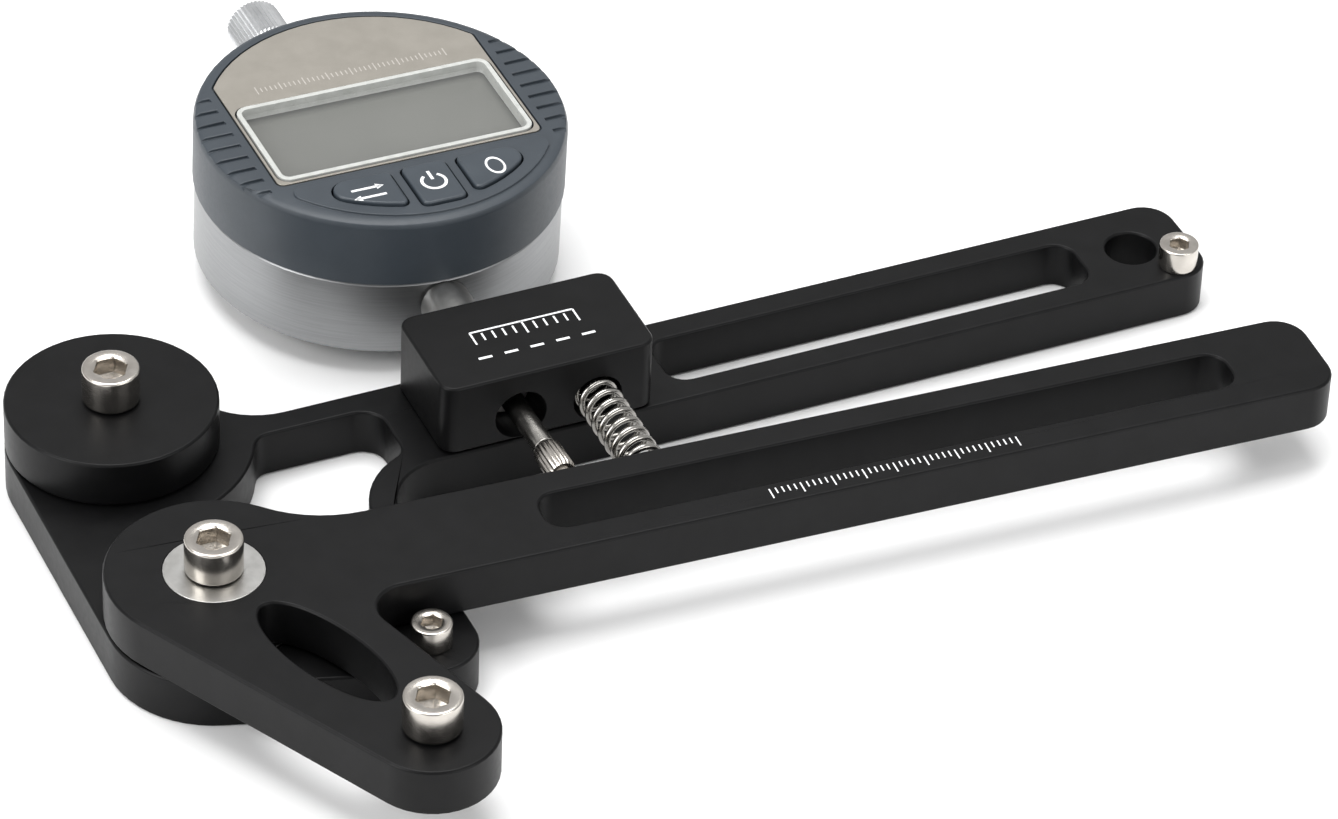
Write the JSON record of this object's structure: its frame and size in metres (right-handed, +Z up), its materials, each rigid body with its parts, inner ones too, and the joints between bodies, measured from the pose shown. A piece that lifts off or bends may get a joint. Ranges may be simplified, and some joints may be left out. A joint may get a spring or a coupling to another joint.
{
  "type": "spoke tension meter",
  "caption": "Hand tool with two slotted handles on a pivot, a spring between them, bearing posts for a wheel spoke and a round digital indicator that reads the lever's movement.",
  "frame": {"origin": "on the pivot's axis at the underside of the base plate", "axes": "+X along the base plate's handle, +Y from the handles towards the indicator, +Z up through the plates"},
  "size_m": [0.1933, 0.1869, 0.0298],
  "materials": {
    "black_anodised": "black anodised aluminium, satin",
    "stainless": "bright stainless steel",
    "brushed_steel": "turned steel",
    "spring_steel": "drawn spring steel",
    "case_metal": "satin metal casting",
    "shell_plastic": "blue-grey plastic with a fine grain",
    "label_sheet": "warm grey satin sheet",
    "bright_frame": "bright frame",
    "clear_window": "clear window",
    "lcd": "unlit display glass",
    "key_plastic": "blue-grey plastic",
    "key_rubber": "dark rubber",
    "board": "green board",
    "cell_steel": "bright steel can"
  },
  "bodies": {
    "base": {"base_plate": "black_anodised", "spoke_rest_disc": "black_anodised", "clamp_block": "black_anodised", "pivot_bush": "brushed_steel", "thrust_washer": "brushed_steel", "pivot_screw": "stainless", "disc_post_screw": "stainless", "stop_screw": "stainless", "handle_end_screw": "stainless", "block_screw_1": "stainless", "block_screw_2": "stainless", "stem_set_screw": "spring_steel", "main_spring": "spring_steel", "indicator_case": "case_metal", "indicator_back": "case_metal", "back_screw_1": "stainless", "back_screw_2": "stainless", "back_screw_3": "stainless", "back_screw_4": "stainless", "indicator_stem": "brushed_steel", "dust_cap": "case_metal", "return_spring": "spring_steel", "reader_board": "board"},
    "lever": {"lever_plate": "black_anodised", "lever_post_screw": "stainless", "spring_guide_pin": "black_anodised"},
    "spindle": {"spindle": "spring_steel", "contact_tip": "stainless", "scale_bar": "bright_frame"},
    "display_head": {"display_shell": "shell_plastic", "label_plate": "label_sheet", "display_frame": "bright_frame", "display_window": "clear_window", "lcd_panel": "lcd", "key_mat": "key_rubber", "circuit_board": "board"},
    "unit_key": {"unit_button": "key_plastic"},
    "power_key": {"power_button": "key_plastic"},
    "zero_key": {"zero_button": "key_plastic"},
    "drawer": {"battery_tray": "shell_plastic", "battery": "cell_steel"}
  },
  "joints": [
    {"name": "lever_squeeze", "type": "hinge", "parent": "base", "child": "lever", "pos_m": [0, 0, 0.0124], "axis": [0, 0, 1], "range_deg": [-1.3, 7.9], "stiffness_Nm_per_rad": 5.5, "deforming": ["main_spring"]},
    {"name": "spindle_slide", "type": "slide", "parent": "base", "child": "spindle", "axis": [-0.0105, 0.9999, 0], "range_m": [-0.00135, 0.0081], "deforming": ["return_spring"]},
    {"name": "display_turn", "type": "hinge", "parent": "base", "child": "display_head", "pos_m": [0.05828, 0.08111, 0.01278], "axis": [0.0227, 0.0002, 0.9997], "range_deg": [-135, 135]},
    {"name": "unit_press", "type": "slide", "parent": "display_head", "child": "unit_key", "axis": [-0.0227, -0.0002, -0.9997], "range_m": [0, 0.0005], "stiffness_N_per_m": 300},
    {"name": "power_press", "type": "slide", "parent": "display_head", "child": "power_key", "axis": [-0.0227, -0.0002, -0.9997], "range_m": [0, 0.0005], "stiffness_N_per_m": 300},
    {"name": "zero_press", "type": "slide", "parent": "display_head", "child": "zero_key", "axis": [-0.0227, -0.0002, -0.9997], "range_m": [0, 0.0005], "stiffness_N_per_m": 300},
    {"name": "drawer_slide", "type": "slide", "parent": "display_head", "child": "drawer", "axis": [-0.0105, 0.9999, 0], "range_m": [0, 0.012]}
  ],
  "couplings": [
    {"joint": "spindle_slide", "follows": "lever_squeeze", "m_per_rad": 0.0583}
  ]
}
